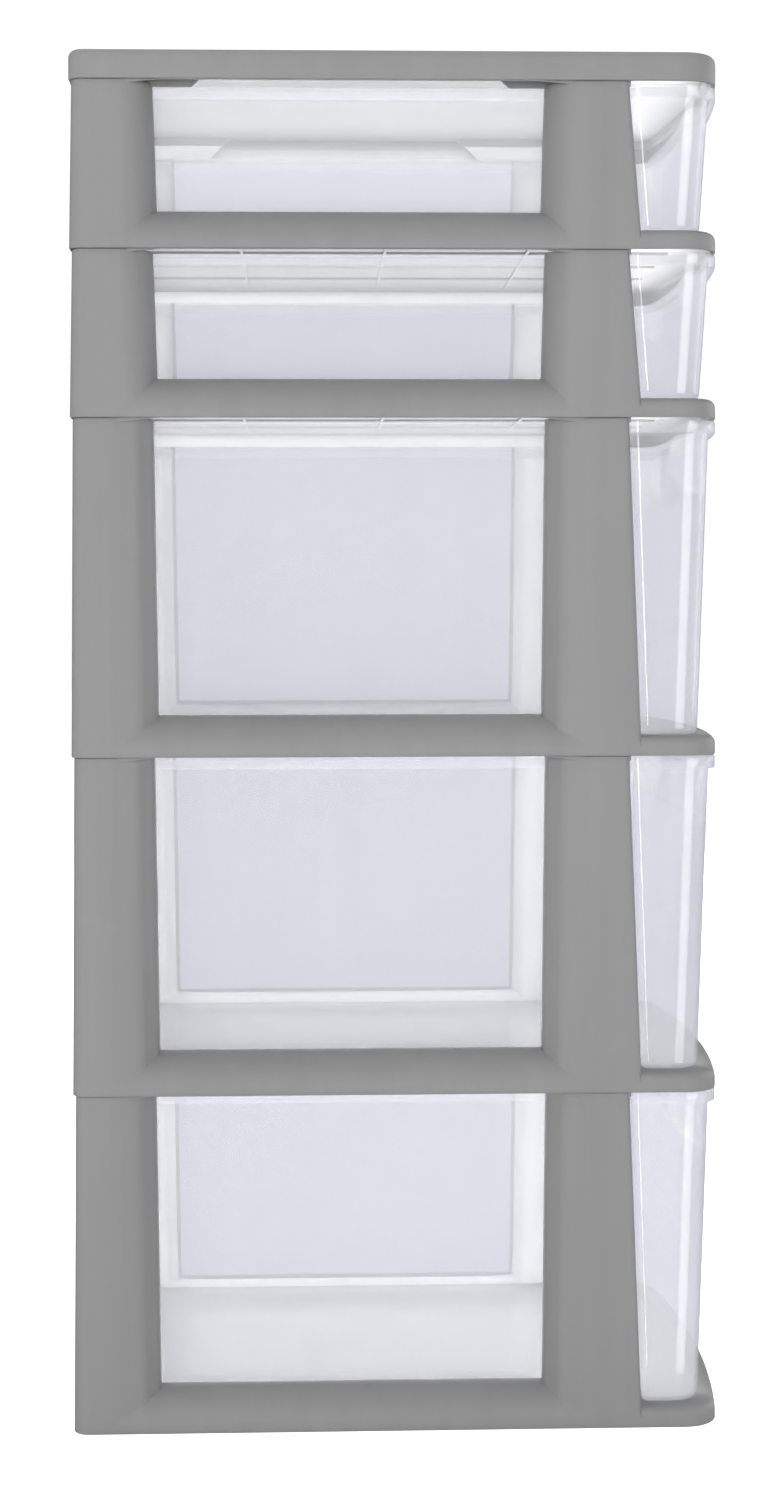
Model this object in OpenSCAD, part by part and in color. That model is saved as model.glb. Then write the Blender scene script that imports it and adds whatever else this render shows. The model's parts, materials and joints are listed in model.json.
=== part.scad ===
// Free-standing drawer tower of moulded plastic: a lid, five tier frames that
// stack on each other, and five clear drawers that slide out of them.
// Millimetres, +Z up, front towards -Y, origin under the middle of the base.

/* [Overall size] */
// Width of the tower at the lower edge of each tier
body_w = 290; // [250:1:360]
// Depth from the back to the middle of the bowed front
body_d = 403; // [385:1:480]
// Radius of the bowed front, seen from above
bow_r = 1000; // [700:10:2000]
// Radius of the front corners, seen from above
front_corner_r = 21; // [14:1:28]
// Radius of the back corners, seen from above
back_corner_r = 9; // [8:0.5:16]

/* [Tiers] */
// Height of a deep tier, from one lower edge to the next
deep_h = 206; // [150:1:260]
// Height of a shallow tier, from one lower edge to the next
shallow_h = 102; // [90:1:140]
// Height of the shelf face above the lower edge of its tier
shelf_h = 12; // [10:0.5:16]
// Height of the window sill above the lower edge of its tier
sill_h = 25; // [23:0.5:34]
// Radius of the upper edge of the shelf's front
shelf_edge_r = 5; // [2:0.5:7]

/* [Frame moulding] */
// Thickness of the frame's walls
wall = 2.5; // [1.8:0.1:3]
// Thickness of the shelf plate
shelf_t = 2.5; // [1.8:0.1:3.5]
// How much a tier narrows on each side from its lower edge to its top
draft = 1.7; // [0:0.1:2]
// Depth of the rolled edge round each side window
side_roll = 22; // [16:0.5:22]
// Depth of the rolled edge round each back window
back_roll = 12; // [8:0.5:13]
// Width of the back posts, on the side and on the back
rear_post = 50; // [44:1:70]
// Width of the front posts at their top
front_post = 50; // [44:1:70]
// Distance from the tower's front to the front posts, at their top
post_set = 63; // [58:1:70]
// How much further forward the foot of the front posts stands
post_lean = 7; // [0:0.5:9]
// How much each end of a side window leans inwards from its top to its sill
window_lean = 2.5; // [0:0.5:5]
// Thickness of the rim that locates the tier above
spigot_t = 2; // [1.6:0.1:2.6]
// Play between that rim and the skirt around it
spigot_gap = 0.4; // [0.2:0.05:0.5]
// Thickness of the ribs under a shelf
rib_t = 2; // [1.2:0.1:3]
// Depth of the ribs under a shelf
rib_h = 5; // [2:0.5:5.5]

/* [Lid] */
// Height of the lid
lid_h = 18; // [16:0.5:28]
// Thickness of the lid's top plate
lid_t = 2.2; // [1.8:0.1:3]
// Radius of the lid's upper edge
lid_edge_r = 5; // [2:0.5:6]
// Depth of the shallow tray in the lid's top
lid_tray = 1.2; // [0.5:0.1:2]
// Width of the border around that tray
lid_border = 14; // [10:0.5:30]
// Width of the ledge that rests on the top tier
lid_ledge = 4; // [3:0.5:6]
// Length of the lid's stiffening tabs along the side windows
tab_len = 27; // [12:1:40]

/* [Drawers] */
// Thickness of a drawer's walls
drawer_wall = 1.8; // [1.5:0.1:2.6]
// Play between a drawer and the posts beside it
side_play = 1.5; // [0.8:0.1:2]
// Gap between a drawer and the shelf that it rests on
rest_gap = 0.3; // [0.2:0.05:0.5]
// Gap between a drawer and the lower edge of the tier above
top_gap = 1.5; // [1:0.1:3]
// Gap between a drawer and the back of the tower
rear_gap = 18; // [17:0.5:30]
// Gap between a drawer's front part and the front posts
shoulder_gap = 1; // [0.6:0.1:2]
// Slope of a drawer's side and back walls, in degrees
drawer_slope = 1; // [0:0.1:1.5]
// Distance from the tower's side to the side of a drawer's front part
head_side = 7; // [6:0.5:10]
// Distance that a drawer's face stands behind the tower's front, at its top
head_back = 4; // [2:0.5:6]
// How much further back the foot of a deep drawer's face stands
deep_lean = 7; // [3:0.5:9]
// How much further back the foot of a shallow drawer's face stands
shallow_lean = 6; // [3:0.5:8]
// Height of the rim around a drawer
rim_h = 8; // [6:0.5:12]
// How far the rim stands out from a drawer's side
rim_out = 3; // [1.5:0.5:4]
// How far the pull stands out from the sides of a drawer's front part
lip_out = 1.5; // [0.5:0.5:3]
// Radius of the finger pocket in a deep drawer's face
deep_grip_r = 22; // [16:1:26]
// Radius of the finger pocket in a shallow drawer's face
shallow_grip_r = 15; // [12:1:18]
// Length of the finger pocket
grip_w = 200; // [120:1:210]

/* [Hidden] */

GREY = [0.45, 0.45, 0.45];
CLEAR = [0.82, 0.84, 0.88, 0.55];

// Tiers are counted from the top.
TIER_H = [shallow_h, shallow_h, deep_h, deep_h, deep_h];
LEAN = [shallow_lean, shallow_lean, deep_lean, deep_lean, deep_lean];
GRIP_R = [shallow_grip_r, shallow_grip_r, deep_grip_r, deep_grip_r, deep_grip_r];
LAST = len(TIER_H) - 1;

half_w = body_w / 2;
y_back = body_d / 2;
y_front = -body_d / 2;

// Front face of the front posts at their top, and the window's edge behind it.
y_post = y_front + post_set;
y_window = y_post + front_post;

// Height of the rim inside the tier above, and its distance from the outline.
spigot_h = shelf_h - shelf_t;
spigot_in = wall + spigot_gap;

corner_steps = 8;
bow_steps = 12;
rear_steps = 6;
edge_step = 18;
over = 1;
grip_fn = 64;
roll_fn = 96;

// The sunk centre of a finger pocket, as a share of its radius.
grip_drop = 0.6;
// Play of the posts' notch around the drawer rim.
notch_play = 1;
// How far the ends of a tier's rim stand in front of its front posts, and how
// far it reaches down inside the posts.
rim_end = 1;
rim_foot = 3;
// How far a shelf's hidden ribs keep from the skirt at the front, and how many
// run along and across.
rib_margin = 28;
long_ribs = 3;
cross_ribs = 3;
// How far the shelf's block runs past the outline that it is cut to.
shelf_over = 0.5;
// Inner corner radii of a drawer.
drawer_corner_r = 12;
shoulder_r = 6;
head_corner_r = front_corner_r - head_back;
rim_corner_r = 1;
// Overlap of a drawer's rear part into its front part.
head_lap = 14;
tab_t = 2.5;
tab_gap = 0.3;

function tier_z(i) = i == LAST ? 0 : tier_z(i + 1) + TIER_H[i + 1];
lid_z = tier_z(0) + TIER_H[0];

// Y of a point at this distance from the back.
function from_back(d) = y_back - d;

function arc(x, y, r, a0, a1, n) =
  [for (i = [0:n]) let (a = a0 + (a1 - a0) * i / n) [x + r * cos(a), y + r * sin(a)]];

// Outline with a bowed front (radius r_bow), round front and rear corners.
function bowed(hw, front, rear, r_front, r_rear, r_bow) =
  let (
    cy = front + r_bow,
    cx = hw - r_front,
    corner_y = cy - sqrt(pow(r_bow - r_front, 2) - cx * cx),
    a = atan2(corner_y - cy, cx)
  )
  concat(
    arc(hw - r_rear, rear - r_rear, r_rear, 0, 90, rear_steps),
    arc(r_rear - hw, rear - r_rear, r_rear, 90, 180, rear_steps),
    arc(-cx, corner_y, r_front, 180, 180 - a, corner_steps),
    [for (p = arc(0, cy, r_bow, 180 - a, 360 + a, bow_steps)) if (abs(p[0]) < cx) p],
    arc(cx, corner_y, r_front, a, 0, corner_steps)
  );

// Outline of the tower, moved inwards all round.
function plan(inset) =
  bowed(half_w - inset, y_front + inset, y_back - inset, front_corner_r - inset,
        back_corner_r - inset, bow_r - inset);

// Solid through a list of [z, outline] rings that all have as many points.
module loft(rings) {
  n = len(rings[0][1]);
  last = len(rings) - 1;
  polyhedron(
    points = [for (r = rings) for (p = r[1]) [p[0], p[1], r[0]]],
    faces = concat(
      [[for (i = [n - 1:-1:0]) last * n + i]],
      [[for (i = [0:n - 1]) i]],
      [for (k = [0:last - 1]) for (i = [0:n - 1]) let (j = (i + 1) % n)
        [k * n + i, (k + 1) * n + i, (k + 1) * n + j]],
      [for (k = [0:last - 1]) for (i = [0:n - 1]) let (j = (i + 1) % n)
        [k * n + i, (k + 1) * n + j, k * n + j]]
    )
  );
}

module plan_prism(z0, z1, inset)
  translate([0, 0, z0]) linear_extrude(z1 - z0) polygon(plan(inset));

// ---- tier frames ----

// Y of the leaning front face of the front posts, at height z of tier i.
function post_y(i, z) =
  y_post - post_lean * (tier_z(i) + TIER_H[i] - z) / (TIER_H[i] - shelf_h);

// Outer skin (skin = 0) or inner skin (skin = wall) of a tier between two
// heights, with its draft.
module tier_skin(i, z0, z1, skin) {
  z = tier_z(i);
  h = TIER_H[i];
  loft([
    [z0, plan(skin + draft * (z0 - z) / h)],
    [z1, plan(skin + draft * (z1 - z) / h)]
  ]);
}

// Shelf block, whose upper edge is rounded.
module shelf_block(i) {
  z = tier_z(i);
  r = shelf_edge_r;
  loft(concat(
    [[z - over, plan(-shelf_over)], [z + shelf_h - r - shelf_over, plan(-shelf_over)]],
    [for (a = [0:edge_step:90]) [z + shelf_h - r + r * sin(a), plan(r - r * cos(a))]]
  ));
}

// Half-round bead (radius roll - skin) that ends a wall beside a window.
module roll_disc(roll, skin) circle(roll - skin, $fn = roll_fn);

// +X post of tier i that starts at the window edge y_edge (at the tier's top)
// and runs length along dir; skin > 0 gives the hollow inside it. The window
// edge leans. It runs on above the tier, where the skins cut it off.
module side_post(i, y_edge, dir, length, skin) {
  inner = half_w - side_roll;
  open = skin > 0 ? over : 0;
  depth = side_roll + over + open;
  lean = atan(window_lean / (TIER_H[i] - sill_h));
  run = 4 * over;
  translate([0, y_edge, tier_z(i) + TIER_H[i]]) rotate([-dir * lean, 0, 0])
    translate([0, 0, -TIER_H[i] - run]) linear_extrude(TIER_H[i] + 2 * run) intersection() {
      union() {
        translate([inner - open, dir > 0 ? side_roll : -length])
          square([depth, length - side_roll]);
        translate([inner, dir * side_roll]) roll_disc(side_roll, skin);
      }
      translate([inner - open, dir > 0 ? 0 : -length]) square([depth, length]);
    }
}

// Posts and lower bar of the +X side; skin > 0 gives the hollow inside them.
module side_panel(i, skin) {
  z = tier_z(i);
  high = z + TIER_H[i] + 3 * over;
  low = z - 3 * over;
  inner = half_w - side_roll;
  open = skin > 0 ? over : 0;
  depth = side_roll + over + open;
  // back post
  side_post(i, from_back(rear_post), 1, rear_post + window_lean + over, skin);
  // front post, whose front face leans
  intersection() {
    side_post(i, y_window, -1, y_window - y_front, skin);
    translate([inner - 2 * over, 0, 0]) rotate([90, 0, 90])
      linear_extrude(side_roll + 4 * over) polygon([
        [y_window + side_roll, low],
        [y_window + side_roll, high],
        [post_y(i, high) + skin, high],
        [post_y(i, low) + skin, low]
      ]);
  }
  // lower bar
  translate([0, y_back + over, 0]) rotate([90, 0, 0])
    linear_extrude(y_back - y_post - skin + over) intersection() {
      union() {
        translate([inner - open, z - over]) square([depth, sill_h - side_roll + over]);
        translate([inner, z + sill_h - side_roll]) roll_disc(side_roll, skin);
      }
      translate([inner - open, z - over]) square([depth, sill_h + over]);
    }
}

// Posts and lower bar of the back; skin > 0 gives the hollow inside them.
module back_panel(i, skin) {
  z = tier_z(i);
  top = z + TIER_H[i] + over;
  inner = y_back - back_roll;
  open = skin > 0 ? over : 0;
  depth = back_roll + over + open;
  bottom = z - over;
  post_x = half_w - rear_post;
  for (side = [0, 1]) mirror([side, 0, 0])
    translate([0, 0, bottom]) linear_extrude(top - bottom) intersection() {
      union() {
        translate([post_x + back_roll, inner - open])
          square([rear_post - back_roll + over, depth]);
        translate([post_x + back_roll, inner]) roll_disc(back_roll, skin);
      }
      translate([post_x, inner - open]) square([rear_post + over, depth]);
    }
  translate([-half_w, 0, 0]) rotate([90, 0, 90]) linear_extrude(body_w) intersection() {
    union() {
      translate([inner - open, bottom]) square([depth, sill_h - back_roll + over]);
      translate([inner, z + sill_h - back_roll]) roll_disc(back_roll, skin);
    }
    translate([inner - open, bottom]) square([depth, sill_h + over]);
  }
}

module panels(i, skin) {
  for (side = [0, 1]) mirror([side, 0, 0]) side_panel(i, skin);
  back_panel(i, skin);
}

// Rim that goes up into the tier above; below the tier's top it runs on down
// inside the posts, which carry it.
module tier_rim(i) {
  top = tier_z(i) + TIER_H[i];
  difference() {
    intersection() {
      plan_prism(top - rim_foot, top + spigot_h, spigot_in);
      union() {
        panels(i, 0);
        translate([-half_w, y_post - rim_end, top])
          cube([body_w, y_back - y_post + rim_end, spigot_h + over]);
      }
    }
    plan_prism(top - rim_foot - over, top + spigot_h + over, spigot_in + spigot_t);
  }
}

// Notch along the posts in which the drawer's rim runs.
module rim_notch(i) {
  top = tier_z(i) + TIER_H[i];
  low = top - top_gap - rim_h - notch_play;
  w = half_w - side_roll - side_play + rim_out + notch_play;
  translate([-w, y_front, low])
    cube([2 * w, body_d - back_roll, top - low + over]);
}

// Ribs under the shelf, crossing at right angles.
module shelf_ribs(i) {
  z = tier_z(i) + shelf_h - shelf_t - rib_h;
  x_end = half_w - side_roll;
  y0 = y_front + rib_margin;
  y1 = y_back - back_roll;
  for (k = [1:long_ribs])
    translate([2 * x_end * k / (long_ribs + 1) - x_end - rib_t / 2, y0, z])
      cube([rib_t, y1 - y0, rib_h + shelf_t / 2]);
  for (k = [1:cross_ribs])
    translate([-x_end, y0 + (y1 - y0) * k / (cross_ribs + 1) - rib_t / 2, z])
      cube([2 * x_end, rib_t, rib_h + shelf_t / 2]);
}

module tier_frame(i) {
  z = tier_z(i);
  top = z + TIER_H[i];
  color(GREY) union() {
    difference() {
      intersection() {
        tier_skin(i, z, top, 0);
        union() {
          shelf_block(i);
          panels(i, 0);
        }
      }
      // hollow under the shelf
      plan_prism(z - over, z + shelf_h - shelf_t, wall);
      // hollow of the posts and the bars
      intersection() {
        tier_skin(i, z + shelf_h, top + over, wall);
        panels(i, wall);
      }
      rim_notch(i);
    }
    tier_rim(i);
    shelf_ribs(i);
  }
}

// ---- lid ----

module lid_tabs() {
  inner = half_w - side_roll;
  z0 = lid_z + tab_gap;
  z1 = lid_z + lid_h - lid_tray - lid_t / 2;
  slant = z1 - z0;
  for (side = [0, 1]) mirror([side, 0, 0])
    for (end = [0, 1])
      translate([inner + over, 0, 0]) rotate([90, 0, 90]) linear_extrude(tab_t) polygon(
        end == 0
        ? [[from_back(rear_post - side_roll), z0], [from_back(rear_post + tab_len - slant), z0],
           [from_back(rear_post + tab_len), z1], [from_back(rear_post - side_roll), z1]]
        : [[y_window - side_roll, z0], [y_window + tab_len - slant, z0],
           [y_window + tab_len, z1], [y_window - side_roll, z1]]
      );
}

module top_lid() {
  r = lid_edge_r;
  top = lid_z + lid_h;
  under = top - lid_tray - lid_t;
  color(GREY) union() {
    difference() {
      loft(concat(
        [[lid_z, plan(0)]],
        [for (a = [0:edge_step:90]) [top - r + r * sin(a), plan(r - r * cos(a))]]
      ));
      plan_prism(lid_z - over, lid_z + spigot_h, wall);
      plan_prism(lid_z + spigot_h - over, under, wall + lid_ledge);
      translate([0, 0, top - lid_tray]) linear_extrude(lid_tray + over)
        polygon(bowed(half_w - lid_border, y_front + lid_border, y_back - lid_border,
                      front_corner_r / 2, back_corner_r, bow_r));
    }
    lid_tabs();
  }
}

// ---- drawers ----

function drawer_bottom(i) = tier_z(i) + shelf_h + rest_gap;
function drawer_top(i) = tier_z(i) + TIER_H[i] - top_gap;

// Outline of a drawer's rear part at height z, moved inwards by skin.
function rear_ring(i, z, skin) =
  let (
    slope = tan(drawer_slope) * (drawer_top(i) - z),
    hw = half_w - side_roll - side_play - slope - skin,
    rear = from_back(rear_gap) - slope - skin,
    front = post_y(i, z) - head_lap,
    r = drawer_corner_r - skin
  )
  concat(
    arc(hw - r, rear - r, r, 0, 90, rear_steps),
    arc(r - hw, rear - r, r, 90, 180, rear_steps),
    [[-hw, front], [hw, front]]
  );

// Outline of a drawer's front part at height z, moved inwards by skin.
function head_ring(i, z, skin) =
  let (
    drop = drawer_top(i) - z,
    share = drop / (drawer_top(i) - drawer_bottom(i)),
    hw = half_w - head_side - tan(drawer_slope) * drop - skin,
    front = y_front + head_back + LEAN[i] * share + skin,
    rear = post_y(i, z) - shoulder_gap - skin
  )
  bowed(hw, front, rear, head_corner_r - skin, shoulder_r - skin, bow_r - head_back - skin);

module drawer_body(i, skin) {
  z0 = drawer_bottom(i) + skin;
  z1 = drawer_top(i) + (skin > 0 ? over : 0);
  loft([[z0, rear_ring(i, z0, skin)], [z1, rear_ring(i, z1, skin)]]);
  loft([[z0, head_ring(i, z0, skin)], [z1, head_ring(i, z1, skin)]]);
}

// Rim around the top, which is the pull along the front.
module drawer_rim(i) {
  z1 = drawer_top(i);
  translate([0, 0, z1 - rim_h]) linear_extrude(rim_h) {
    hw = half_w - side_roll - side_play + rim_out;
    polygon(bowed(hw, post_y(i, z1) - head_lap, from_back(rear_gap) + rim_out,
                  rim_corner_r, drawer_corner_r, bow_r));
    polygon(bowed(half_w - head_side + lip_out, y_front, post_y(i, z1) - shoulder_gap,
                  front_corner_r, shoulder_r, bow_r));
  }
}

// Round-ended pocket behind the face, of radius r.
module grip(i, r) {
  z = drawer_top(i) - rim_h - grip_drop * GRIP_R[i];
  y = y_front + head_back;
  x = grip_w / 2 - GRIP_R[i];
  translate([-x, y, z]) rotate([0, 90, 0]) cylinder(2 * x, r = r, $fn = grip_fn);
  for (side = [-1, 1]) translate([side * x, y, z]) sphere(r, $fn = grip_fn);
}

module below(z) translate([-body_w, -body_d, z - deep_h]) cube([2 * body_w, 2 * body_d, deep_h]);

module drawer(i) {
  lip_z = drawer_top(i) - rim_h;
  color(CLEAR) difference() {
    union() {
      difference() {
        union() {
          drawer_body(i, 0);
          drawer_rim(i);
        }
        drawer_body(i, drawer_wall);
      }
      intersection() {
        grip(i, GRIP_R[i] + drawer_wall);
        drawer_body(i, drawer_wall / 2);
        below(lip_z + drawer_wall);
      }
    }
    intersection() {
      grip(i, GRIP_R[i]);
      below(lip_z);
    }
  }
}

top_lid();
tier_frame(0);  // tier_1_frame
tier_frame(1);  // tier_2_frame
tier_frame(2);  // tier_3_frame
tier_frame(3);  // tier_4_frame
tier_frame(4);  // tier_5_frame
drawer(0);  // drawer_1
drawer(1);  // drawer_2
drawer(2);  // drawer_3
drawer(3);  // drawer_4
drawer(4);  // drawer_5
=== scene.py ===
import json
import math

import bmesh
import bpy
from mathutils import Matrix, Vector

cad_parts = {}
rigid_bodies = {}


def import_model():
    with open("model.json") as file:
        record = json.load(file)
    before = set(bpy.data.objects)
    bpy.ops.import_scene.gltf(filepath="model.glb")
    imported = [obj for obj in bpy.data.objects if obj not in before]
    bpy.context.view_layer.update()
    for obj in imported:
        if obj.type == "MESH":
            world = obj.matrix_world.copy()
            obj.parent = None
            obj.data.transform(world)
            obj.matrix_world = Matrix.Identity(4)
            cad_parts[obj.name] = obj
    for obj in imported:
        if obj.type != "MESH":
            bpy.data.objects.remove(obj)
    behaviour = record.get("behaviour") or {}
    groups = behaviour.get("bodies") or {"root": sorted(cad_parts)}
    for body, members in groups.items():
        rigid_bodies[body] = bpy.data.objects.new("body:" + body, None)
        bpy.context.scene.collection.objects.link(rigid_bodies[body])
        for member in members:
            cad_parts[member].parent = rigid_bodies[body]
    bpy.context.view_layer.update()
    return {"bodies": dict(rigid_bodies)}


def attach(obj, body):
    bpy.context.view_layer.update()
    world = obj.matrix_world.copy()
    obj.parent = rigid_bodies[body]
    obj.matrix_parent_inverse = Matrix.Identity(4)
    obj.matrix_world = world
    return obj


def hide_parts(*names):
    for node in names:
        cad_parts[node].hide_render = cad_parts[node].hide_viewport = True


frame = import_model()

MM = 0.001


# ---- camera: square to the left side, a little above the middle ----

def look(location, yaw, pitch, roll):
    """World matrix of a camera that looks along +X, turned to its right, down
    and rolled by these angles in degrees."""
    yaw, pitch, roll = (math.radians(a) for a in (yaw, pitch, roll))
    forward, right, up = Vector((1, 0, 0)), Vector((0, -1, 0)), Vector((0, 0, 1))
    forward, right = (math.cos(yaw) * forward + math.sin(yaw) * right,
                      math.cos(yaw) * right - math.sin(yaw) * forward)
    forward, up = (math.cos(pitch) * forward - math.sin(pitch) * up,
                   math.cos(pitch) * up + math.sin(pitch) * forward)
    right, up = (math.cos(roll) * right + math.sin(roll) * up,
                 math.cos(roll) * up - math.sin(roll) * right)
    m = Matrix((right, up, -forward)).transposed().to_4x4()
    m.translation = Vector(location)
    return m


scene = bpy.context.scene
# lens, shift, place and turn are fitted to the corners and seams in the photo
camera_data = bpy.data.cameras.new("camera")
camera = bpy.data.objects.new("camera", camera_data)
scene.collection.objects.link(camera)
camera_data.sensor_width = 36
camera_data.lens = 59.86
camera_data.shift_y = -0.0616
camera_data.clip_start, camera_data.clip_end = 0.05, 60
camera.matrix_world = look((-1.657, 0.05827, 0.50196), 1.934, 1.12, -0.13)
scene.camera = camera

scene.view_settings.view_transform = "Standard"
scene.view_settings.look = "None"
scene.cycles.transparent_max_bounces = 32
scene.cycles.max_bounces = 16
scene.cycles.transmission_bounces = 16
scene.cycles.glossy_bounces = 6


# ---- light ----

def area_light(name, place, target, size, power, mirrored=False, diffuse=True, only=None,
               shadow=True):
    """A soft light; with only=, it falls on that collection alone."""
    data = bpy.data.lights.new(name, "AREA")
    data.shape, data.size, data.size_y, data.energy = "RECTANGLE", size[0], size[1], power
    data.use_shadow = shadow
    ob = bpy.data.objects.new(name, data)
    scene.collection.objects.link(ob)
    ob.location = place
    ob.rotation_euler = (Vector(target) - Vector(place)).to_track_quat("-Z", "Y").to_euler()
    ob.visible_camera = False
    ob.visible_transmission = False
    ob.visible_glossy = mirrored
    ob.visible_diffuse = diffuse
    if only:
        ob.light_linking.receiver_collection = only
    return ob


def milky(direction, strength):
    """Light that a milky wall gathers from round about: it comes from that side,
    falls on the drawers alone and isn't shaded by their walls."""
    data = bpy.data.lights.new("milky", "SUN")
    data.energy, data.angle, data.use_shadow = strength, math.radians(60), False
    ob = bpy.data.objects.new("milky", data)
    scene.collection.objects.link(ob)
    ob.rotation_euler = (-Vector(direction)).to_track_quat("-Z", "Y").to_euler()
    ob.visible_glossy = False
    ob.light_linking.receiver_collection = drawers


# collections that lights are kept to: the clear drawers, the grey frames with the
# lid, and these frames with the floor
drawers, frames, solid = (bpy.data.collections.new(name)
                          for name in ("drawers", "frames", "solid"))
UPPER_HALF, MIDDLE = (0, 0.05, 0.62), (0, 0, 0.42)
KEY_SIZE, FILL_SIZE = (4.2, 1.7), (2.4, 2.4)
FRONT_PLACE = (1.3, -3.0, 1.2)
area_light("key", (-3.2, 0.25, 0.86), UPPER_HALF, KEY_SIZE, 97, only=solid)
area_light("right_key", (3.2, 0.25, 0.86), UPPER_HALF, KEY_SIZE, 34, only=solid)
area_light("top", (0, 0, 3.0), (0, 0.001, 0.8), (2.0, 2.0), 20, only=solid)
area_light("front_fill", FRONT_PLACE, MIDDLE, FILL_SIZE, 40, mirrored=True, only=solid)
area_light("back_fill", (-0.4, 3.2, 1.2), MIDDLE, FILL_SIZE, 24)
area_light("right_fill", (3.2, -0.6, 1.3), MIDDLE, FILL_SIZE, 58, only=solid)
area_light("top_fill", (0.8, 0, 2.7), (0.1, 0, 0.8), (1.3, 2.0), 16)
# three lights that show only as reflections in the drawers, two of them aimed at the
# front corner of the drawers on the camera's side
NEAR_CORNER = (-0.138, -0.145, 0.5)
SHEEN = dict(mirrored=True, diffuse=False, only=drawers)
area_light("front_window", FRONT_PLACE, MIDDLE, FILL_SIZE, 30, **SHEEN)
area_light("streak", (-2.51, 0.91, 0.5), NEAR_CORNER, (0.3, 3.0), 75, **SHEEN)
area_light("window", (-2.11, -1.58, 0.5), NEAR_CORNER, (1.5, 3.0), 75, **SHEEN)
for direction, strength in (((0, -1, 0), 0.6), ((0, 1, 0), 1.9),
                            ((0, 0, 1), 1.4), ((0, 0, -1), 1.9)):
    milky(direction, strength)

# The studio is white to the camera. Through the clear drawers, where a ray has gone
# through something transparent, its backdrop is dim, and a little lighter low down.
BACKDROP, LOW_BACKDROP = 0.512, 0.7
world = bpy.data.worlds.new("studio")
scene.world = world
world.use_nodes = True
nt = world.node_tree
nt.nodes.clear()
out = nt.nodes.new("ShaderNodeOutputWorld")
rays = nt.nodes.new("ShaderNodeLightPath")


def background(level, colour=(1, 1, 1, 1)):
    node = nt.nodes.new("ShaderNodeBackground")
    node.inputs[0].default_value, node.inputs[1].default_value = colour, level
    return node.outputs[0]


def choose(ray, other, this):
    """Shows this to that kind of ray, and the other to the rest."""
    node = nt.nodes.new("ShaderNodeMixShader")
    nt.links.new(rays.outputs[ray], node.inputs[0])
    nt.links.new(other, node.inputs[1])
    nt.links.new(this, node.inputs[2])
    return node.outputs[0]


# what lights the object from all round, for every ray but the camera's own
ambient = background(0.33, (0.98, 0.985, 1, 1))
above = nt.nodes.new("ShaderNodeSeparateXYZ")
nt.links.new(nt.nodes.new("ShaderNodeTexCoord").outputs["Generated"], above.inputs[0])
steep = nt.nodes.new("ShaderNodeMapRange")
nt.links.new(above.outputs["Z"], steep.inputs["Value"])
for key, value in (("From Min", -0.55), ("From Max", -0.38),
                   ("To Min", LOW_BACKDROP), ("To Max", BACKDROP)):
    steep.inputs[key].default_value = value
dim = background(1.0, (1, 1, 1.24, 1))
nt.links.new(steep.outputs[0], dim.node.inputs[1])
sight = choose("Transparent Depth", background(1.05), dim)
nt.links.new(choose("Is Camera Ray", ambient, sight), out.inputs[0])


# ---- materials ----

class Tree:
    """A material's node tree, with short ways to add to it."""

    def __init__(self, name):
        self.mat = bpy.data.materials.new(name)
        self.mat.use_nodes = True
        self.nt = self.mat.node_tree
        self.nt.nodes.clear()
        self.out = self.add("ShaderNodeOutputMaterial")
        self.place = self.add("ShaderNodeTexCoord").outputs["Object"]

    def add(self, kind, **inputs):
        node = self.nt.nodes.new(kind)
        for key, value in inputs.items():
            self.put(node.inputs[key.replace("_", " ")], value)
        return node

    def put(self, socket, value):
        if isinstance(value, bpy.types.NodeSocket):
            self.nt.links.new(value, socket)
        else:
            socket.default_value = value

    def noise(self, scale, detail, rough, stretch=(1, 1, 1)):
        mapping = self.add("ShaderNodeMapping", Vector=self.place, Scale=stretch)
        return self.add("ShaderNodeTexNoise", Vector=mapping.outputs[0], Scale=scale,
                        Detail=detail, Roughness=rough).outputs["Fac"]

    def span(self, value, from_min, from_max, to_min, to_max):
        node = self.add("ShaderNodeMapRange", Value=value)
        for key, v in (("From Min", from_min), ("From Max", from_max),
                       ("To Min", to_min), ("To Max", to_max)):
            self.put(node.inputs[key], v)
        return node.outputs[0]

    def math(self, op, a, b):
        node = self.add("ShaderNodeMath")
        node.operation = op
        self.put(node.inputs[0], a)
        self.put(node.inputs[1], b)
        return node.outputs[0]

    def blend(self, factor, a, b):
        node = self.add("ShaderNodeMix")
        node.data_type = "RGBA"
        for socket, v in zip((node.inputs[0], node.inputs[6], node.inputs[7]), (factor, a, b)):
            self.put(socket, v)
        return node.outputs[2]

    def bump(self, height, distance, strength):
        node = self.add("ShaderNodeBump", Height=height, Distance=distance, Strength=strength)
        return node.outputs[0]


def grey_plastic():
    t = Tree("frame_grey")
    broad = t.noise(5.0, 4.0, 0.6)
    grain = t.noise(900.0, 2.0, 0.5)
    flow = t.noise(70.0, 2.0, 0.55, (1, 1, 0.04))
    scuffs = t.span(t.noise(38.0, 5.0, 0.7, (1, 0.6, 1)), 0.62, 0.74, 0.0, 1.0)
    shade = t.blend(t.span(t.math("ADD", broad, flow), 0.7, 1.3, 0.0, 1.0),
                    (0.208, 0.208, 0.208, 1), (0.226, 0.226, 0.226, 1))
    colour = t.blend(t.math("MULTIPLY", scuffs, 0.35), shade, (0.245, 0.245, 0.245, 1))
    uneven = t.math("ADD", broad, t.math("ADD", t.math("MULTIPLY", grain, 0.4),
                                         t.math("MULTIPLY", scuffs, 0.2)))
    rough = t.span(uneven, 0.4, 1.0, 0.46, 0.58)
    p = t.add("ShaderNodeBsdfPrincipled", Base_Color=colour, Roughness=rough,
              Normal=t.bump(grain, 0.00006, 0.6))
    p.inputs["Specular IOR Level"].default_value = 0.4
    t.nt.links.new(p.outputs[0], t.out.inputs[0])
    return t.mat


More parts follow.
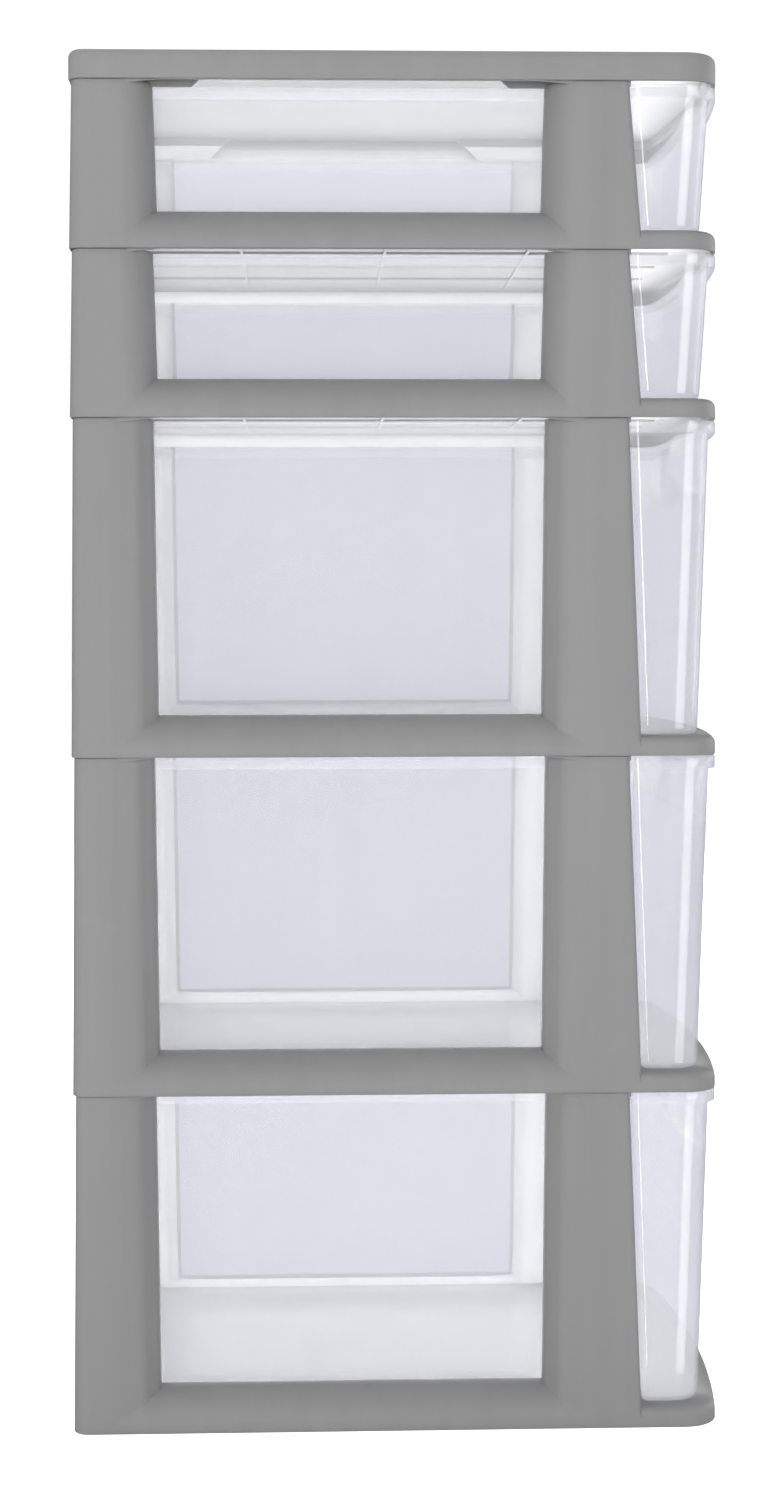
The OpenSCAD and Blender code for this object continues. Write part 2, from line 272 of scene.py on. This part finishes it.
# opacity of a drawer's wall seen square on, what a slant adds to it, and its two tones
VEIL, SLANT = 0.265, 0.14
DENSE, THIN = (0.765, 0.77, 0.82, 1), (0.795, 0.80, 0.845, 1)


def clear_plastic():
    t = Tree("drawer_clear")
    broad = t.noise(4.0, 3.0, 0.5)
    fine = t.noise(60.0, 3.0, 0.6)
    waves = t.noise(3.0, 0.0, 0.5, (1, 1, 1.8))
    flow = t.noise(60.0, 2.0, 0.55, (1, 1, 0.05))
    colour = t.blend(t.span(t.math("ADD", broad, flow), 0.7, 1.3, 0.0, 1.0), DENSE, THIN)
    # a wall seen at a slant is thicker along the view, so its veil is denser
    slant = t.add("ShaderNodeLayerWeight", Blend=0.5).outputs["Facing"]
    veil = t.math("ADD", t.math("MULTIPLY", t.math("POWER", slant, 3.0), SLANT), VEIL)
    p = t.add("ShaderNodeBsdfPrincipled", Base_Color=colour,
              Roughness=t.span(fine, 0.3, 0.7, 0.16, 0.22), Alpha=veil,
              Normal=t.bump(waves, 0.002, 0.22))
    p.inputs["Specular IOR Level"].default_value = 0.9
    p.inputs["Coat Weight"].default_value = 1.0
    p.inputs["Coat Roughness"].default_value = 0.07
    t.nt.links.new(p.outputs[0], t.out.inputs[0])
    return t.mat


def floor_plastic():
    """White to the camera, and out of sight through the clear drawers."""
    t = Tree("studio_floor")
    p = t.add("ShaderNodeBsdfPrincipled", Base_Color=(0.88, 0.88, 0.88, 1), Roughness=0.9)
    p.inputs["Emission Color"].default_value = (1, 1, 1, 1)
    rays = t.add("ShaderNodeLightPath")
    t.put(p.inputs["Emission Strength"], t.math("MULTIPLY", rays.outputs["Is Camera Ray"], 0.9))
    behind = t.math("MULTIPLY", rays.outputs["Is Camera Ray"],
                    t.math("GREATER_THAN", rays.outputs["Transparent Depth"], 0.5))
    mix = t.add("ShaderNodeMixShader", Fac=behind)
    t.nt.links.new(p.outputs[0], mix.inputs[1])
    t.nt.links.new(t.add("ShaderNodeBsdfTransparent").outputs[0], mix.inputs[2])
    t.nt.links.new(mix.outputs[0], t.out.inputs[0])
    return t.mat


GREY = grey_plastic()
CLEAR = clear_plastic()


# ---- sizes in millimetres ----
# They are the solids', but for the ribs under the shelves, the lid's tabs and the gap
# over the drawers, where a comment says so.

HALF_W, Y_FRONT, Y_BACK = 145.0, -201.5, 201.5
FRONT_R, BACK_R, BOW_R = 21.0, 9.0, 1000.0
SHELF_H, SILL_H, SHELF_T, WALL, DRAFT = 12.0, 25.0, 2.5, 2.5, 1.7
SHELF_EDGE_R = 5.0
SIDE_ROLL, BACK_ROLL, REAR_POST = 22.0, 12.0, 50.0
Y_POST, FRONT_POST, POST_LEAN, WINDOW_LEAN = -138.5, 50.0, 7.0, 2.5
RIM_H, RIM_OUT = 8.0, 3.0
# near a tier's top its rolled edges are cut back, so that the drawer's rim has room
NOTCH_H, NOTCH_DEPTH = 10.5, 19.4
LID_Z, LID_H, TRAY = 822.0, 18.0, 1.2
LOWEST_DEEP = 150  # a tier that is higher than this is a deep one
# lower edge and height of each tier, from the top down
TIERS = [(720.0, 102.0), (618.0, 102.0), (412.0, 206.0), (206.0, 206.0), (0.0, 206.0)]

# distances from a window's edge at which its rolled edge has a row or a column
STEPS = [0, 0.1, 0.3, 0.7, 1.2, 1.9, 2.8, 3.9, 5.2, 6.8, 8.6, 10.6, 12, 13.5, 15.5, 18, 19.5, 22]
# profile of a deep tier's posts, flatter than a quarter round: distance from the
# window's edge, depth
FACET = [(0, 22), (0.4, 13.4), (9.0, 4.6), (10.6, 3.6), (25.0, 0.4), (28.0, 0)]


def rolled(t, r):
    """Depth of a quarter-round edge of radius r at the distance t from its window."""
    return 0.0 if t >= r else r - math.sqrt(r * r - (r - t) ** 2)


def facet_at(depth):
    """Distance from the window at which the faceted profile has this depth."""
    for (t0, d0), (t1, d1) in zip(FACET, FACET[1:]):
        if d0 >= depth >= d1:
            return t0 + (t1 - t0) * (d0 - depth) / (d0 - d1)
    return FACET[-1][0]


def finish_mesh(name, bm, body, mat, nodes, sharp=38, merge=0.004):
    """Makes the object of a bmesh in millimetres and puts it in its CAD node's place."""
    bmesh.ops.remove_doubles(bm, verts=bm.verts, dist=merge)
    bmesh.ops.dissolve_degenerate(bm, dist=merge / 2, edges=bm.edges)
    bmesh.ops.recalc_face_normals(bm, faces=bm.faces)
    bm.normal_update()
    for f in bm.faces:
        f.smooth = True
    for e in bm.edges:
        if len(e.link_faces) == 2 and e.calc_face_angle(0) > math.radians(sharp):
            e.smooth = False
    bmesh.ops.scale(bm, vec=(MM, MM, MM), verts=bm.verts)
    mesh = bpy.data.meshes.new(name)
    bm.to_mesh(mesh)
    bm.free()
    mesh.materials.append(mat)
    ob = bpy.data.objects.new(name, mesh)
    scene.collection.objects.link(ob)
    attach(ob, body)
    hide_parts(*nodes)
    return ob


def thickened(bm, depth):
    """The sheet as a wall of that thickness, which grows behind it."""
    mesh = bpy.data.meshes.new("sheet")
    bm.to_mesh(mesh)
    bm.free()
    ob = bpy.data.objects.new("sheet", mesh)
    scene.collection.objects.link(ob)
    m = ob.modifiers.new("wall", "SOLIDIFY")
    m.thickness, m.offset, m.use_rim = depth, -1, True
    graph = bpy.context.evaluated_depsgraph_get()
    wall = bmesh.new()
    wall.from_mesh(ob.evaluated_get(graph).to_mesh())
    bpy.data.objects.remove(ob)
    bpy.data.meshes.remove(mesh)
    return wall


def loft(bm, rings):
    """Closed rings of points, joined one to the next and capped at both ends."""
    rows = [[bm.verts.new(p) for p in ring] for ring in rings]
    n = len(rows[0])
    for r0, r1 in zip(rows, rows[1:]):
        for i in range(n):
            j = (i + 1) % n
            bm.faces.new((r0[i], r0[j], r1[j], r1[i]))
    bm.faces.new(rows[0][::-1])
    bm.faces.new(rows[-1])


def bow(hw, front, r_front, r_bow, xs):
    """Points of the front from +X to -X: corner, bow, corner."""
    cx, cy = hw - r_front, front + r_bow
    corner_y = cy - math.sqrt((r_bow - r_front) ** 2 - cx * cx)
    a = math.atan2(corner_y - cy, cx)
    right = [(cx + r_front * math.cos(a * k / 8), corner_y + r_front * math.sin(a * k / 8))
             for k in range(9)]
    middle = [(x, cy - math.sqrt(r_bow * r_bow - x * x)) for x in xs]
    left = [(-x, y) for x, y in reversed(right)]
    return right + middle + left


def back_corners(x, y, r):
    """Points of the two rounded corners at the back, with their centres at -x and x."""
    turns = [math.radians(15 * k) for k in range(7)]
    return ([(-x - r * math.cos(q), y + r * math.sin(q)) for q in turns]
            + [(x + r * math.sin(q), y + r * math.cos(q)) for q in turns])


# where the bowed front has its columns, on the lid and on the frames
BOW_X = [120 - 10 * k for k in range(25)]
BOW_X_IN = [112 - 8 * k for k in range(29)]


def plan_ring(inset, z):
    """Closed outline of the tower, moved inwards."""
    xs = [x * (1 - inset / 400) for x in BOW_X]
    pts = bow(HALF_W - inset, Y_FRONT + inset, max(FRONT_R - inset, 0.5), BOW_R - inset, xs)
    r = max(BACK_R - inset, 0.4)
    pts += back_corners(HALF_W - inset - r, Y_BACK - inset - r, r)
    return [(px, py, z) for px, py in pts]


# ---- tier frames ----

EDGE_R = 0.8


def edge_round(z, h):
    """The lower and upper edges of a tier are broken by a small radius."""
    low = 0.0 if z > EDGE_R else (EDGE_R - z) ** 2 / EDGE_R
    high = 0.0 if h - z > EDGE_R else (EDGE_R - (h - z)) ** 2 / EDGE_R
    return low + high


def post_front(z, h):
    """Y of the front post's front edge, which leans forward towards its foot."""
    return Y_POST - POST_LEAN * (h - z) / (h - SHELF_H)


def wall_columns(h):
    """Columns of half a tier's wall, from the front edge of the front post to the
    middle of the back: (place(z, inset), depth of the post there, kind of bar)."""
    deep = h > LOWEST_DEEP
    cols = []

    def side(y, depth, bar="side"):
        cols.append((lambda z, ins, y=y: (HALF_W - ins, y(z)), depth, bar))

    def lean(z):
        return WINDOW_LEAN * (h - z) / (h - SILL_H)

    def front_edge(z):
        return Y_POST + FRONT_POST + lean(z)

    def rear_edge(z):
        return Y_BACK - REAR_POST - lean(z)

    levels = [(facet_at(rolled(t, SIDE_ROLL)) if deep else t, rolled(t, SIDE_ROLL))
              for t in STEPS]
    side(lambda z: post_front(z, h), "face", "none")
    r = 3  # of the post's front edge
    for t in (0, 0.12, 0.45, 0.95, 1.7, r):
        side(lambda z, t=t: post_front(z, h) + t, r - math.sqrt(r * r - (r - t) ** 2), "none")
    reach = levels[-1][0]
    for k in (1, 2):
        side(lambda z, k=k: post_front(z, h) + r
             + (front_edge(z) - reach - post_front(z, h) - r) * k / 3, 0.0)
    for t, depth in reversed(levels):
        side(lambda z, t=t: front_edge(z) - t, depth)
    for k in range(1, 12):
        side(lambda z, k=k: front_edge(z) + (rear_edge(z) - front_edge(z)) * k / 12, None)
    for t, depth in levels:
        side(lambda z, t=t: rear_edge(z) + t, depth)
    for y in (Y_BACK - 15, Y_BACK - BACK_R):
        side(lambda z, y=y: y, 0.0)
    for k in range(1, 6):
        q = math.radians(15 * k)
        cols.append((lambda z, ins, q=q: (
            HALF_W - BACK_R + (BACK_R - ins) * math.cos(q),
            Y_BACK - BACK_R + (BACK_R - ins) * math.sin(q)), 0.0, "back"))
    edge = HALF_W - REAR_POST
    back = [(HALF_W - BACK_R, 0.0), (HALF_W - 20, 0.0)]
    back += [(edge + t, rolled(t, BACK_ROLL)) for t in reversed(STEPS) if t <= BACK_ROLL]
    back += [(edge * (1 - k / 6), None) for k in range(1, 7)]
    for x, depth in back:
        cols.append((lambda z, ins, x=x: (x, Y_BACK - ins), depth, "back"))
    return cols


def tier_frame(name, z0, h):
    bm = bmesh.new()
    half = wall_columns(h)
    cols = [(place, depth, bar, 1) for place, depth, bar in half]
    cols += [(place, depth, bar, -1) for place, depth, bar in reversed(half[:-1])]
    notch = h - NOTCH_H
    upper = [SILL_H + (notch - SILL_H) * k / 7 for k in range(1, 7)]
    rows = [0, 0.2, 0.45, EDGE_R] + [SILL_H - t for t in reversed(STEPS)] + upper
    rows += [notch - 0.01, notch + 0.01, h - 4, h - EDGE_R, h - 0.45, h - 0.2, h]
    skirt_top = SHELF_H - SHELF_EDGE_R

    def depth_at(depth, bar, z):
        """Depth of the surface behind the outline, and whether it is on a mitre."""
        if depth == "face" or bar == "none":
            if z <= skirt_top + 1e-6:
                return 0.0, False
            d = SIDE_ROLL if depth == "face" else depth
            return (min(d, NOTCH_DEPTH) if z > notch else d), False
        roll = SIDE_ROLL if bar == "side" else BACK_ROLL
        b = rolled(SILL_H - z, roll) if z <= SILL_H + 1e-6 else None
        if depth is None and b is None:
            return None, False
        d = min(v for v in (depth, b) if v is not None)
        mitre = depth is not None and b is not None and abs(depth - b) < 1e-6 and d > 0
        return (min(d, NOTCH_DEPTH) if z > notch else d), mitre

    grid = []
    for place, depth, bar, sx in cols:
        column = []
        for z in rows:
            d, mitre = depth_at(depth, bar, z)
            if d is None:
                column.append(None)
                continue
            x, y = place(z, DRAFT * z / h + edge_round(z, h) + d)
            column.append((bm.verts.new((sx * x, y, z0 + z)), mitre))
        grid.append(column)

    def quad(a, b, c, d):
        """A face of the wall; one on a mitre is split along it."""
        if None in (a, b, c, d):
            return
        v = [p[0] for p in (a, b, c, d)]
        if a[1] and c[1]:
            bm.faces.new((v[0], v[1], v[2]))
            bm.faces.new((v[0], v[2], v[3]))
        elif b[1] and d[1]:
            bm.faces.new((v[0], v[1], v[3]))
            bm.faces.new((v[1], v[2], v[3]))
        else:
            bm.faces.new(v)

    for c0, c1 in zip(grid, grid[1:]):
        for k in range(len(rows) - 1):
            quad(c0[k], c1[k], c1[k + 1], c0[k + 1])

    # the skirt runs on round the front, where its upper edge is rounded
    low = [z for z in rows if z <= skirt_top + 1e-6]
    arcs = [(skirt_top + SHELF_EDGE_R * math.sin(q), SHELF_EDGE_R - SHELF_EDGE_R * math.cos(q))
            for q in (math.radians(11.25 * k) for k in range(1, 9))]
    levels = [(z, DRAFT * z / h + edge_round(z, h)) for z in low]
    levels += [(z, ins + DRAFT * skirt_top / h) for z, ins in arcs]
    front_y = post_front(0, h)
    front = []
    for z, ins in levels:
        pts = bow(HALF_W - ins, Y_FRONT + ins, FRONT_R - ins, BOW_R - ins, BOW_X_IN)
        edge_x = HALF_W - ins
        start = post_front(min(z, skirt_top), h) + (0 if z <= skirt_top + 1e-6 else 0.6)
        pts = [(edge_x, start), (edge_x, (front_y + pts[0][1]) / 2)] + pts
        pts += [(-edge_x, (front_y + pts[-1][1]) / 2), (-edge_x, start)]
        front.append([bm.verts.new((x, y, z0 + z)) for x, y in pts])
    for r0, r1 in zip(front, front[1:]):
        for i in range(len(r0) - 1):
            bm.faces.new((r0[i], r1[i], r1[i + 1], r0[i + 1]))
    bmesh.ops.remove_doubles(bm, verts=bm.verts, dist=0.02)
    bmesh.ops.recalc_face_normals(bm, faces=bm.faces)
    shell = thickened(bm, WALL)
    shelf_and_rim(shell, z0, h)
    return finish_mesh(name + "_moulding", shell, "tower", GREY, [name],
                       merge=0.002)


def shelf_and_rim(bm, z0, h):
    """Adds the shelf plate with its ribs, and the rim that locates the tier above."""
    step = post_front(SHELF_H, h) + 1.5
    ins, walls = 4.6, 2.35  # how far inside the outline the plate ends: in front, elsewhere
    x, y, r = HALF_W - walls, Y_BACK - walls, BACK_R - walls
    outline = [(x, step), (HALF_W - ins, step)]
    outline += bow(HALF_W - ins, Y_FRONT + ins, FRONT_R - ins, BOW_R - ins, BOW_X_IN)
    outline += [(-(HALF_W - ins), step), (-x, step)]
    outline += back_corners(x - r, y - r, r)
    loft(bm, [[(px, py, z0 + z) for px, py in outline] for z in (SHELF_H - SHELF_T, SHELF_H)])

    def bar(x0, x1, y0, y1, za, zb):
        loft(bm, [[(x0, y0, z), (x1, y0, z), (x1, y1, z), (x0, y1, z)] for z in (za, zb)])

    x_end, ya, yb = HALF_W - SIDE_ROLL, Y_FRONT + 28, Y_BACK - BACK_ROLL
    # three ribs each way, 1.6 mm deep (5 mm in the solids), that run 1 mm into the plate
    low = z0 + SHELF_H - SHELF_T - 1.6
    high = low + 2.6
    for k in (1, 2, 3):
        xc = 2 * x_end * k / 4 - x_end
        bar(xc - 1, xc + 1, ya, yb, low, high)
        yc = ya + (yb - ya) * k / 4
        bar(-x_end, x_end, yc - 1, yc + 1, low + 0.05, high)
    # half of the rim's outer and inner outline, mirrored to the other side
    top, rim_top = z0 + h, z0 + h + 9.5
    rim = []
    y_end = Y_POST - 1
    for ins in (2.9, 4.9):
        x, y, r = HALF_W - ins, Y_BACK - ins, BACK_R - ins
        pts = [(x, y_end), (x, Y_POST + FRONT_POST - 22), (x, Y_POST + FRONT_POST + 4),
               (x, Y_BACK - REAR_POST - 4), (x, Y_BACK - REAR_POST + 22), (x, y - r)]
        pts += [(x - r + r * math.cos(q), y - r + r * math.sin(q)) for q in
                (math.radians(18 * k) for k in range(1, 6))]
        pts += [(HALF_W - REAR_POST + 12, y), (HALF_W - REAR_POST - 4, y)]
        rim.append(pts + [(-px, py) for px, py in reversed(pts)])
    # how far the rim reaches down into the tier, point by point: nowhere over a window
    hang = [3, 3, 0, 0, 3] + [3] * 7 + [0]
    hang = hang + hang[::-1]
    strip = []
    for (xa, y_a), (xb, y_b), drop in zip(rim[0], rim[1], hang):
        strip.append([bm.verts.new(v) for v in (
            (xa, y_a, top - drop), (xa, y_a, top + 8.9), (xa * 0.998, y_a * 0.998, rim_top),
            (xb, y_b, rim_top), (xb, y_b, top - drop))])
    for s0, s1 in zip(strip, strip[1:]):
        for i in range(5):
            bm.faces.new((s0[i], s0[(i + 1) % 5], s1[(i + 1) % 5], s1[i]))
    bm.faces.new(strip[0])
    bm.faces.new(strip[-1][::-1])


# ---- lid ----

def top_lid():
    bm = bmesh.new()
    top, r = LID_Z + LID_H, 5.0
    levels = [(LID_Z + z, EDGE_R - math.sqrt(max(EDGE_R ** 2 - (EDGE_R - z) ** 2, 0)))
              for z in (0, 0.15, 0.4, EDGE_R)]
    levels += [(top - r - 4, 0.0)]
    levels += [(top - r + r * math.sin(q), r - r * math.cos(q)) for q in
               (math.radians(7.5 * k) for k in range(13))]
    # from the underside of the plate down inside the skirt, up outside it, and over
    # the upper edge to the tray
    rings = [plan_ring(WALL + 4, top - TRAY - 2.2), plan_ring(WALL + 4, LID_Z + 9.5),
             plan_ring(WALL, LID_Z + 9.5), plan_ring(WALL, LID_Z)]
    rings += [plan_ring(ins, z) for z, ins in levels]
    rings += [plan_ring(ins, top - z) for ins, z in
              ((12.6, 0.0), (13.4, 0.12), (14.2, 0.6), (15.0, 1.08), (15.8, TRAY))]
    loft(bm, rings)
    # four tabs, two on each side, that hang inside the windows' upper corners: lower,
    # longer and further out than the solids'
    inner = HALF_W - SIDE_ROLL
    za, zb = LID_Z - 1.6, top - TRAY - 1.1
    slant = zb - za
    rear, front = Y_BACK - REAR_POST, Y_POST + FRONT_POST
    for profile in ([(rear + SIDE_ROLL, za), (rear - 24, za),
                     (rear - 24 - slant, zb), (rear + SIDE_ROLL, zb)],
                    [(front - SIDE_ROLL, za), (front + 21, za), (front + 22.5, za + 0.5),
                     (front + 24 + slant, zb), (front - SIDE_ROLL, zb)]):
        for sx in (-1, 1):
            cy = sum(y for y, z in profile) / len(profile)
            cz = sum(z for y, z in profile) / len(profile)
            rings = []
            for x, shrink in ((0.0, 0.97), (0.4, 1.0), (2.1, 1.0), (2.5, 0.97)):
                rings.append([(sx * (inner + 1.8 + x), cy + (y - cy) * shrink,
                               cz + (z - cz) * shrink) for y, z in profile])
            loft(bm, rings)
    return finish_mesh("lid_moulding", bm, "tower", GREY, ["top_lid"])


# ---- drawers ----

HEAD_W, RIM_HEAD_W, SIDE_W, DRAWER_WALL = 138.0, 139.5, 121.5, 1.8
SLOPE = math.tan(math.radians(1.0))
HEAD_BACK, REAR_GAP = 4, 18
# columns of the face, close together where the finger pocket ends
PULL_X = [113, 109, 106, 103.5, 101.5, 100, 98.5, 96.5, 94, 91, 87, 82, 77, 69, 60, 50, 40,
          30, 20, 10, 0]
PULL_END, PULL_STRAIGHT = 100.0, 78.0


def drawer_ring(z, side_w, rear, shoulder, head_w, front, r_front, skin=0.0, push=None):
    """Closed outline of a drawer: narrow between the posts, wide in front of them."""
    pts = []
    hw, back = side_w - skin, rear - skin
    # radii of the rear corner, and of the shoulder's inner and outer corner
    r, ri, ro = 12.0, 3.0, 6.0
    pts.append((0.0, back))
    for k in range(7):
        q = math.radians(90 - 15 * k)
        pts.append((side_w - r + (r - skin) * math.cos(q), rear - r + (r - skin) * math.sin(q)))
    ya, yb = rear - r, shoulder + ri
    for k in range(1, 9):
        pts.append((hw, ya + (yb - ya) * k / 9))
    for k in range(6):
        q = math.radians(180 + 18 * k)
        pts.append((side_w + ri + (ri + skin) * math.cos(q),
                    shoulder + ri + (ri + skin) * math.sin(q)))
    for k in range(7):
        q = math.radians(90 - 15 * k)
        pts.append((head_w - ro + (ro - skin) * math.cos(q),
                    shoulder - ro + (ro - skin) * math.sin(q)))
    cx, cy = head_w - r_front, front + BOW_R
    corner_y = cy - math.sqrt((BOW_R - r_front) ** 2 - cx * cx)
    ya = shoulder - ro
    for k in (1, 2, 3):
        pts.append((head_w - skin, ya + (corner_y - ya) * k / 4))
    a = math.atan2(corner_y - cy, cx)
    for k in range(9):
        q = a * k / 8
        pts.append((cx + (r_front - skin) * math.cos(q),
                    corner_y + (r_front - skin) * math.sin(q)))
    rb = BOW_R - skin
    for x in PULL_X:
        y = cy - math.sqrt(rb * rb - x * x)
        if push:
            y += push(x)
        pts.append((x, y))
    full = pts + [(-x, y) for x, y in reversed(pts[1:-1])]
    return [(x, y, z) for x, y in full]


def drawer(n, z0, h):
    deep = h > LOWEST_DEEP
    # 0.3 mm over its shelf, and 0.6 mm under the next one, where the solids leave 1.5
    low, top = z0 + SHELF_H + 0.3, z0 + h - 0.6
    lean, pull_r = (7.0, 22.0) if deep else (6.0, 15.0)
    lip = top - RIM_H
    pull_z, pull_y = lip - 0.6 * pull_r, Y_FRONT + HEAD_BACK

    def face_y(z):
        return Y_FRONT + HEAD_BACK + lean * (top - z) / (top - low)

    def body(z, skin=0.0, push=None):
        """Outline of the drawer's wall, this far inside its outer face."""
        drop = SLOPE * (top - z)
        return drawer_ring(z, SIDE_W - drop, Y_BACK - REAR_GAP - drop,
                           post_front(z - z0, h) - 1, HEAD_W - drop, face_y(z),
                           FRONT_R - HEAD_BACK, skin, push)

    def pocket(z, skin):
        """How far the face is pushed in at height z, by how far to the side."""
        r = pull_r + skin
        dz = z - pull_z
        if abs(dz) >= r:
            deepest = -2.0 * (abs(dz) - r) - 3.0
        else:
            deepest = pull_y + math.sqrt(r * r - dz * dz) - face_y(z) - skin
        # the pocket runs out into the face in a small fillet
        soft = 0.5 * (deepest + math.sqrt(deepest * deepest + 1.2))
        if deepest < -6:
            soft = 0.0

        def push(x):
            u = (abs(x) - PULL_STRAIGHT) / (PULL_END + skin - PULL_STRAIGHT)
            if u >= 1:
                return 0.0
            return soft * (1.0 if u <= 0 else math.sqrt(1 - u * u))
        return push

    def rim(z, out):
        """Outline of the rim, this far inside its outer face."""
        return drawer_ring(z, SIDE_W + RIM_OUT - out, Y_BACK - REAR_GAP + RIM_OUT - out,
                           post_front(h - 1.5, h) - 1, RIM_HEAD_W - out, Y_FRONT + out,
                           FRONT_R - out)

    bm = bmesh.new()
    rings = []
    r = 4.0  # of the drawer's lower edge
    for k in range(6):
        q = math.radians(18 * k)
        rings.append(body(low + r - r * math.cos(q), r - r * math.sin(q)))
    start = pull_z - pull_r
    floor_top = low + r
    steps = 6 if deep else 2
    zs = [floor_top + (start - 4 - floor_top) * k / steps for k in range(1, steps + 1)]
    fine = 22
    zs += [start - 4 + (lip - start + 4) * k / fine for k in range(1, fine + 1)]
    rings += [body(z, 0.0, pocket(z, 0.0)) for z in zs]
    # under the rim, up behind its hanging lip, round it and back to the inside
    t = 1.6
    rings += [body(lip), body(lip + 2), rim(top - t - 0.5, t + 0.5), rim(top - t - 1, t)]
    rings += [rim(lip + up, out) for up, out in
              ((0.5, t), (0.15, t - 0.2), (0, 0.8), (0.15, 0.25), (0.5, 0.0))]
    for k in range(7):
        q = math.radians(15 * k)
        rings.append(rim(top - 1.4 + 1.4 * math.sin(q), 1.4 - 1.4 * math.cos(q)))
    w = DRAWER_WALL
    rings += [body(top, w - 0.5), body(top - 0.15, w - 0.15), body(top - 0.6, w)]
    rings += [body(lip + w, w)]
    rings += [body(z, w, pocket(z, w)) for z in [lip + w] + zs[::-1][1:]]
    ri = 3.0
    for k in range(6):
        q = math.radians(18 * k)
        rings.append(body(low + w + ri - ri * math.sin(q), w + ri - ri * math.cos(q)))
    loft(bm, rings)
    return finish_mesh(f"drawer_{n}_tub", bm, f"drawer_{n}", CLEAR,
                       [f"drawer_{n}"], sharp=42)


# ---- light that the milky walls scatter, in metres and for drawers 1 to 5 ----

# strength of the panels at both sides that fall on the drawer alone, and their length
GLOW, REACH = [1.95, 1.1, 0.92, 1.04, 1.42], [0.41, 0.41, 0.4, 0.42, 0.45]
PANEL_X, PANEL_REAR = 0.17, 0.265
# strength of what leaves the drawer towards the frames: through its sides, along the
# sills, upwards, downwards, from its front end upwards and from its front end downwards
SIDE_GLOW, SILL_GLOW = [8, 12, 12, 14, 15], [12, 12, 26, 15, 16]
UP_GLOW, DOWN_GLOW = [9, 9, 12, 11, 11], 12.0
HEAD_GLOW, TRAY_GLOW = [16, 16, 12, 7, 7], 4
SKIN_X = 0.1234  # just outside the drawer's sides
FAR = 2  # how far up or down the panels that face that way are aimed


def glow(n, tub, z0, h):
    """Light that a drawer's milky walls scatter: a panel at each side falls on
    the drawer alone, others light the posts and the shelf round it. They all go
    with the drawer."""
    drawers.objects.link(tub)
    alone = bpy.data.collections.new(f"lit_{n}")
    alone.objects.link(tub)
    z, out, sill = ((z0 + up) * MM for up in (h / 2, h / 2 + 10.5, 19))
    i = n - 1
    # name, place, target, size, strength of a square metre, spread, what it lights
    panels = [
        ("up", (0, -0.01, z), (0, -0.01, FAR), (0.22, 0.36), UP_GLOW[i], 90, frames),
        ("down", (0, -0.01, z), (0, -0.01, -FAR), (0.17, 0.3), DOWN_GLOW, 40, frames),
        ("head", (0, -0.172, (z0 + h - 12) * MM), (0, -0.172, FAR), (0.22, 0.045),
         HEAD_GLOW[i], 150, frames),
        ("tray", (0, -0.165, (z0 + 32) * MM), (0, -0.165, -FAR), (0.24, 0.05),
         TRAY_GLOW, 60, frames)]
    middle = PANEL_REAR - REACH[i] / 2
    for name, side in (("left", -1), ("right", 1)):
        panels += [
            (name, (side * PANEL_X, middle, z), (-side, middle, z), (REACH[i], h * MM + 0.1),
             GLOW[i], 180, alone),
            (name + "_out", (side * SKIN_X, 0.034, out), (side, 0.034, out),
             (0.31, (h - 3) * MM), SIDE_GLOW[i], 50, frames),
            (name + "_sill", (side * SKIN_X, 0.03, sill), (side, 0.03, sill),
             (0.23, 0.013), SILL_GLOW[i], 120, frames)]
    for name, place, target, size, level, spread, only in panels:
        light = area_light(f"glow_{n}_{name}", place, target, size,
                           level * size[0] * size[1], only=only, shadow=only is frames)
        light.data.spread = math.radians(spread)
        matrix = light.matrix_basis.copy()
        light.parent = frame["bodies"][f"drawer_{n}"]
        light.matrix_parent_inverse = Matrix.Identity(4)
        light.matrix_basis = matrix


for n, (z0, h) in enumerate(TIERS, 1):
    frames.objects.link(tier_frame(f"tier_{n}_frame", z0, h))
    glow(n, drawer(n, z0, h), z0, h)
frames.objects.link(top_lid())
for piece in frames.objects:
    solid.objects.link(piece)


# ---- floor, 28 m wide so that no edge of it shows ----

bm = bmesh.new()
bmesh.ops.create_grid(bm, x_segments=8, y_segments=8, size=14)
mesh = bpy.data.meshes.new("floor")
bm.to_mesh(mesh)
bm.free()
floor = bpy.data.objects.new("floor", mesh)
scene.collection.objects.link(floor)
floor.data.materials.append(floor_plastic())
floor.visible_transmission = False
floor.visible_glossy = False
solid.objects.link(floor)
